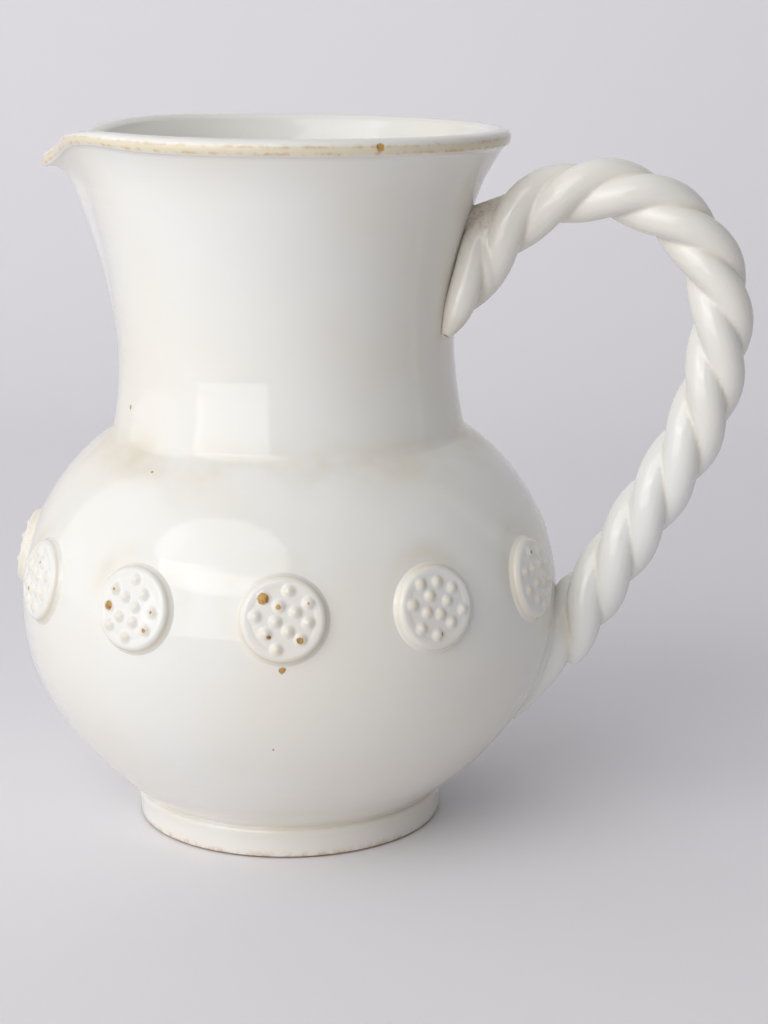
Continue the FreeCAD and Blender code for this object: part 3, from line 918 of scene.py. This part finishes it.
white_glaze = glaze_recipe("white_glaze")
for piece in [body, rope, *discs]:
    finished(piece, white_glaze)
print("glazed pieces:", 2 + len(discs))

# %% [markdown]
# ## The table, the light and the camera
# The jug stands on a pale cloth that runs up behind it, so there is no edge. It could be a floor and a wall,
# but those meet in a line. Seen from its back, the cloth is clear, so that the jug can be looked at from every
# side, and there the pale room shows.

# %% Lay the cloth
CLOTH_HALF = 1.4


def stage_line():
    ground = [(y, 0.0) for y in (-1.05, -0.4, 0.3, 0.55)]
    return ground + through(ground[-1], (0.85, 0.12), (0.97, 0.42), 12) + [(0.97, 2.4)]


cloth = drawn_line("cloth", [(-CLOTH_HALF, y, z) for y, z in stage_line()])
bpy.ops.object.mode_set(mode="EDIT")
bpy.ops.mesh.select_all(action="SELECT")
bpy.ops.mesh.extrude_region_move(TRANSFORM_OT_translate={"value": (2 * CLOTH_HALF, 0, 0)})
bpy.ops.object.mode_set(mode="OBJECT")
if sum(face.normal.z for face in cloth.data.polygons) < 0:
    hold(cloth)
    bpy.ops.object.mode_set(mode="EDIT")
    bpy.ops.mesh.select_all(action="SELECT")
    bpy.ops.mesh.flip_normals()
    bpy.ops.object.mode_set(mode="OBJECT")
print("cloth faces up:", all(face.normal.z > -0.01 for face in cloth.data.polygons))
bpy.ops.object.shade_smooth()
pale = Finish("pale_cloth")
pale.surface.inputs["Base Color"].default_value = paint(239, 237, 240)
pale.surface.inputs["Roughness"].default_value = 0.9
pale.surface.inputs["Specular IOR Level"].default_value = 0.1
behind = pale.node("ShaderNodeNewGeometry", out="Backfacing")
clear = pale.node("ShaderNodeBsdfTransparent")
opaque = Wire(pale, pale.surface.outputs["BSDF"])
shown = pale.node("ShaderNodeMixShader", {}, {0: behind, 1: opaque, 2: clear})
pale.set(pale.tree.nodes["Material Output"].inputs["Surface"], shown)
finished(cloth, pale.material)

# %% [markdown]
# The photograph was lit by a white umbrella to the left of the camera, which shows in the glaze as a round
# light. A glossy pot mirrors its lamps, so their shapes matter as much as their strength. Under the umbrella
# is a low window, on the left a bright wall, above a pale ceiling, and all round a room that is paler where
# it is seen or mirrored than in the light it gives.

# %% Set up the umbrella and light the room
def upright_lamp(name, azimuth, reach, low, high, width, power):
    """An area lamp that stands upright at a distance and faces the jug."""
    turn = math.radians(azimuth)
    bpy.ops.object.light_add(
        type="AREA",
        location=(reach * math.cos(turn), reach * math.sin(turn), (low + high) / 2),
        rotation=(math.pi / 2, 0, turn + math.pi / 2),
    )
    lamp = bpy.context.object
    lamp.name = name
    lamp.data.shape = "RECTANGLE"
    lamp.data.size = width
    lamp.data.size_y = high - low
    lamp.data.energy = power
    return lamp


ROOM_GLOW = 0.22
ROOM_PALE = 0.55
umbrella = upright_lamp("umbrella", -115.5, 1.5, 0.6, 2.62, 2.1, 19.8)
umbrella.data.shape = "ELLIPSE"
upright_lamp("low_window", -116.5, 1.5, 0.02, 1.0, 1.4, 8.4)
upright_lamp("room_left", -170.0, 1.7, 0.0, 2.2, 2.2, 9.2)
bpy.ops.object.light_add(type="AREA", location=(-0.4, 0.2, 2.3))
ceiling = bpy.context.object
ceiling.name = "ceiling"
ceiling.data.shape = "RECTANGLE"
ceiling.data.size, ceiling.data.size_y = 2.4, 2.4
ceiling.data.energy = 6.6
room = bpy.data.worlds.new("room")
bpy.context.scene.world = room
room_light = Tree(room)
background = room.node_tree.nodes["Background"]
background.inputs["Color"].default_value = (0.95, 0.965, 1.0, 1.0)
seen = room_light.node("ShaderNodeLightPath", out="Is Camera Ray")
mirrored = room_light.node("ShaderNodeLightPath", out="Is Glossy Ray")
shows = room_light.node("ShaderNodeMath", {"operation": "MAXIMUM"}, {0: seen, 1: mirrored})
room_light.set(background.inputs["Strength"], ROOM_GLOW + (ROOM_PALE - ROOM_GLOW) * shows)

# %% [markdown]
# The photograph was taken a little from the right and from above, so the mouth shows as a thin ellipse and
# the handle's loop is open. The place was found by setting the rim, the foot and the handle against it.

# %% Set up the camera
CAMERA_PLACE = (0.12836, -0.66074, 0.25294)
CAMERA_DOWN, CAMERA_TURN = math.radians(13.127), math.radians(8.5)
bpy.ops.object.camera_add(location=CAMERA_PLACE, rotation=(math.pi / 2 - CAMERA_DOWN, 0, CAMERA_TURN))
camera = bpy.context.object
camera.data.sensor_width = 36.0
camera.data.lens = 77.8
camera.data.clip_start = 0.01
bpy.context.scene.camera = camera
bpy.context.scene.view_settings.view_transform = "Standard"
print("camera stands", round(math.dist(CAMERA_PLACE, (0, 0, 0.1)), 3), "m from the jug")
